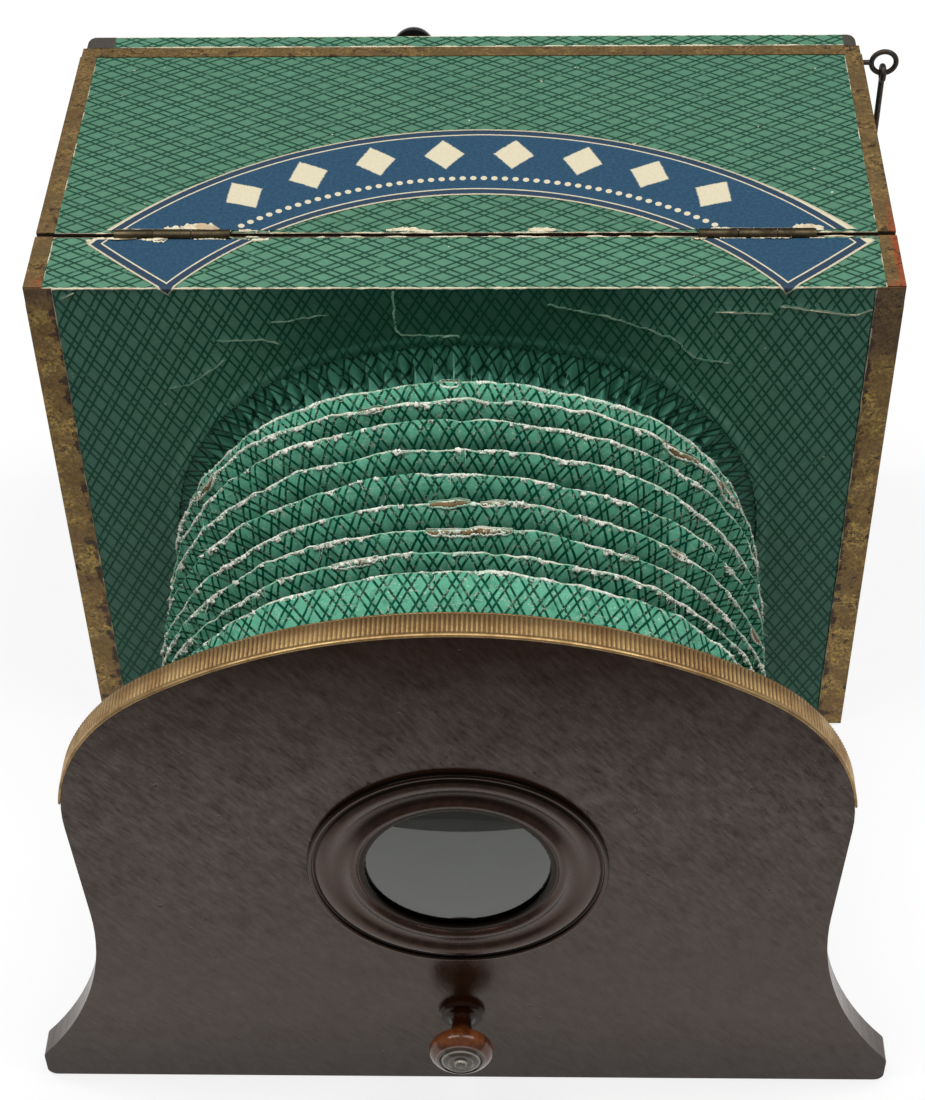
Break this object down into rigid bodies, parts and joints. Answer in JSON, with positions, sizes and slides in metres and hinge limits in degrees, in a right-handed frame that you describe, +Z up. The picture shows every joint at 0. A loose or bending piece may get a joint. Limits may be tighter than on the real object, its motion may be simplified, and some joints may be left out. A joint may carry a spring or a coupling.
{
  "type": "peep-show viewer",
  "caption": "Paper-covered wooden view box with a lift-up lid, a drop-down back door and a folding bellows that carries a free-standing arched lens board.",
  "frame": {"origin": "middle of the box's underside", "axes": "+X to the right seen from the lens, +Y from the lens to the back door, +Z up"},
  "size_m": [0.2328, 0.2666, 0.1686],
  "materials": {
    "covering_paper": "wooden board covered with green lozenge-printed paper, matte, worn at the edges",
    "bellows_paper": "folded green printed paper with frayed pale ridges",
    "lining_paper": "pale reflecting paper",
    "gilt_paper": "tarnished embossed gilt strip",
    "black_stain": "matte black stain",
    "black_polish": "black polish",
    "mahogany": "dark brown worn polish",
    "turned_wood": "turned red-brown wood, satin polish",
    "band_brass": "stamped cross-ribbed brass",
    "hinge_brass": "dull tarnished brass",
    "iron_wire": "dark rusty wire",
    "lens_glass": "clear ground glass"
  },
  "bodies": {
    "case_body": {"base_board": "covering_paper", "left_side": "covering_paper", "right_side": "covering_paper", "front_board": "covering_paper", "top_rail": "covering_paper", "view_stop_left": "black_stain", "view_stop_right": "black_stain", "view_sill": "black_stain", "lid_hinge_rail_leaves": "hinge_brass", "lid_hinge_pins": "hinge_brass", "door_hinge_base_leaves": "hinge_brass", "door_hinge_pins": "hinge_brass", "catch_pin": "iron_wire", "bellows": "bellows_paper", "bellows_box_collar": "bellows_paper", "gilt_front_left": "gilt_paper", "gilt_front_right": "gilt_paper", "gilt_rail_left": "gilt_paper", "gilt_rail_right": "gilt_paper"},
    "lid_body": {"lid": "covering_paper", "lid_lining": "lining_paper", "lid_hinge_lid_leaves": "hinge_brass", "gilt_lid_left": "gilt_paper", "gilt_lid_right": "gilt_paper", "gilt_lid_back": "gilt_paper"},
    "door_body": {"back_door": "covering_paper", "door_knob": "black_polish", "door_hinge_door_leaves": "hinge_brass", "hook_eye": "iron_wire"},
    "hook_body": {"hook": "iron_wire"},
    "lens_body": {"lens_board": "mahogany", "brass_band": "band_brass", "lens_ring": "turned_wood", "lens": "lens_glass", "lens_retainer": "hinge_brass", "pull_knob": "turned_wood", "bellows_board_collar": "bellows_paper"}
  },
  "joints": [
    {"name": "lid_hinge", "type": "hinge", "parent": "case_body", "child": "lid_body", "pos_m": [0, -0.03315, 0.164], "axis": [1, 0, 0], "range_deg": [0, 110]},
    {"name": "door_hinge", "type": "hinge", "parent": "case_body", "child": "door_body", "pos_m": [0, 0.0609, 0.00685], "axis": [-1, 0, 0], "range_deg": [0, 85]},
    {"name": "front_slide", "type": "slide", "parent": "case_body", "child": "lens_body", "axis": [0, 1, 0], "range_m": [0, 0.104], "deforming": ["bellows"]},
    {"name": "hook_swing", "type": "hinge", "parent": "door_body", "child": "hook_body", "pos_m": [0.1182, 0.05815, 0.153], "axis": [1, 0, 0], "range_deg": [-70, 80]}
  ]
}
